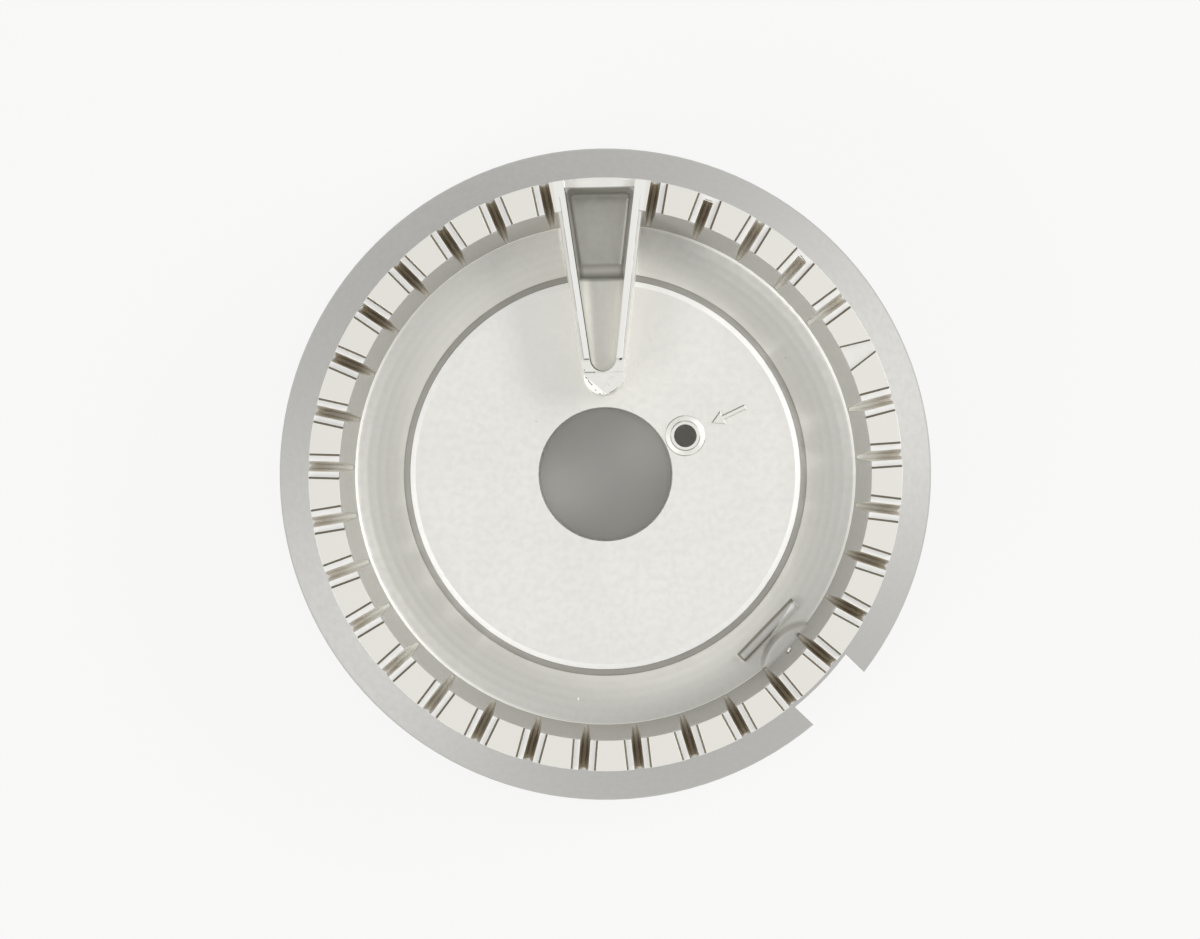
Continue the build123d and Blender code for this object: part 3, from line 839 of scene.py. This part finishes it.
bright_metal = make_flaw_metal("bright_flash", BRIGHT_TONES, BRIGHT_ROUGHNESS)
grey_metal = make_flaw_metal("grey_lines", GREY_TONES, GREY_ROUGHNESS)
painted_shade_metal = make_flaw_metal("dark_chips", DARK_TONES, DARK_ROUGHNESS)
make_flaw("igniter_port_burr", bright_metal, add_port_burr_and_glint, 1)
make_flaw("trough_grains", bright_metal, add_trough_grains, 2)
make_flaw("sill_flash", bright_metal, add_sill_flash, 3)
make_flaw("gate_chips", painted_shade_metal, add_gate_chips, 4)
make_flaw("fine_lines", grey_metal, add_fine_lines, 5)
make_flaw("port_flash_edges", painted_shade_metal, add_flash_edges, 6)


# Floor, light and camera

FLOOR_SIZE = 3.0
FLOOR_COLOUR = (0.66, 0.66, 0.65, 1)
FLOOR_WHITE = (1.0, 1.0, 0.995, 1)
FLOOR_LIFT = 0.88
FILL_LIGHT = 0.55
BACKDROP_LIGHT = 0.97
BACKDROP_TOP_LIGHT = 0.76
BACKDROP_DIMMING = (0.70, 0.94)
SOFTBOX_SIZE = {"distance": 0.9, "width": 0.6, "height": 0.2}


def seen_directly(tree):
    """One for the rays that show the backdrop: to the camera, off metal and through glass."""
    rays = add_node(tree, "ShaderNodeLightPath").outputs
    mirrored = maths(tree, "MAXIMUM", rays["Is Glossy Ray"], rays["Is Transmission Ray"])
    return maths(tree, "MAXIMUM", rays["Is Camera Ray"], mirrored)


def mix_shaders(tree, factor, low, high, output_kind):
    """Mixes two shaders and gives the result to a new output node."""
    either = add_node(tree, "ShaderNodeMixShader")
    feed(tree, either.inputs[0], factor)
    tree.links.new(low.outputs[0], either.inputs[1])
    tree.links.new(high.outputs[0], either.inputs[2])
    output = add_node(tree, output_kind)
    tree.links.new(either.outputs[0], output.inputs["Surface"])


def make_floor():
    """A pale floor that looks white round the part and still keeps its shadow."""
    bpy.ops.mesh.primitive_plane_add(size=FLOOR_SIZE, location=(0, 0, 0))
    floor = bpy.context.object
    floor.name = "floor"
    material = bpy.data.materials.new("floor")
    material.use_nodes = True
    tree = material.node_tree
    tree.nodes.clear()
    matt = add_node(tree, "ShaderNodeBsdfDiffuse")
    matt.inputs["Color"].default_value = FLOOR_COLOUR
    white = add_node(tree, "ShaderNodeEmission")
    white.inputs["Color"].default_value = FLOOR_WHITE
    axes = add_node(tree, "ShaderNodeSeparateXYZ")
    tree.links.new(add_node(tree, "ShaderNodeTexCoord").outputs["Object"], axes.inputs[0])
    radius = length_of(tree, axes.outputs[0], axes.outputs[1])
    lift = spread(tree, radius, TROUGH_OUTER_RADIUS, FLANGE_ROOT_RADIUS, 0, FLOOR_LIFT)
    factor = maths(tree, "MULTIPLY", seen_directly(tree), lift)
    mix_shaders(tree, factor, matt, white, "ShaderNodeOutputMaterial")
    floor.data.materials.append(material)


def make_world():
    """A white backdrop that is dimmer overhead, where the camera stands, and an even fill light."""
    world = bpy.data.worlds.new("studio")
    scene.world = world
    world.use_nodes = True
    tree = world.node_tree
    tree.nodes.clear()
    axes = add_node(tree, "ShaderNodeSeparateXYZ")
    tree.links.new(add_node(tree, "ShaderNodeTexCoord").outputs["Generated"], axes.inputs[0])
    fill = add_node(tree, "ShaderNodeBackground")
    fill.inputs["Strength"].default_value = FILL_LIGHT
    backdrop = add_node(tree, "ShaderNodeBackground")
    strengths = (BACKDROP_LIGHT, BACKDROP_TOP_LIGHT)
    dimming = spread(tree, axes.outputs[2], *BACKDROP_DIMMING, *strengths)
    feed(tree, backdrop.inputs["Strength"], dimming)
    mix_shaders(tree, seen_directly(tree), fill, backdrop, "ShaderNodeOutputWorld")


def make_softbox(name, azimuth, elevation, brightness, distance, width, height):
    """A soft lamp that faces the part, placed by its direction from it."""
    lamp = bpy.data.lights.new(name, "AREA")
    lamp.shape = "RECTANGLE"
    lamp.size = width
    lamp.size_y = height
    lamp.energy = brightness * math.pi * width * height
    light = bpy.data.objects.new(name, lamp)
    scene.collection.objects.link(light)
    around, up = math.radians(azimuth), math.radians(elevation)
    way = Vector((math.cos(around) * math.cos(up), math.sin(around) * math.cos(up), math.sin(up)))
    light.location = way * distance
    light.rotation_euler = way.to_track_quat("Z", "Y").to_euler()


def make_camera():
    """A camera at the photograph's place, with the photograph's scale at the table."""
    camera = bpy.data.objects.new("camera", bpy.data.cameras.new("camera"))
    scene.collection.objects.link(camera)
    scene.camera = camera
    camera.data.sensor_width = SENSOR_WIDTH
    camera.data.lens = SENSOR_WIDTH * CAMERA_HEIGHT * PIXELS_PER_METRE / IMAGE_WIDTH
    camera.location = (*CAMERA_OFFSET, CAMERA_HEIGHT)
    camera.rotation_euler = (0, 0, CAMERA_TURN)


make_floor()
make_world()
make_softbox("softbox_right", azimuth=16, elevation=29, brightness=10, **SOFTBOX_SIZE)
make_softbox("softbox_left", azimuth=212, elevation=29, brightness=7.5, **SOFTBOX_SIZE)
make_camera()
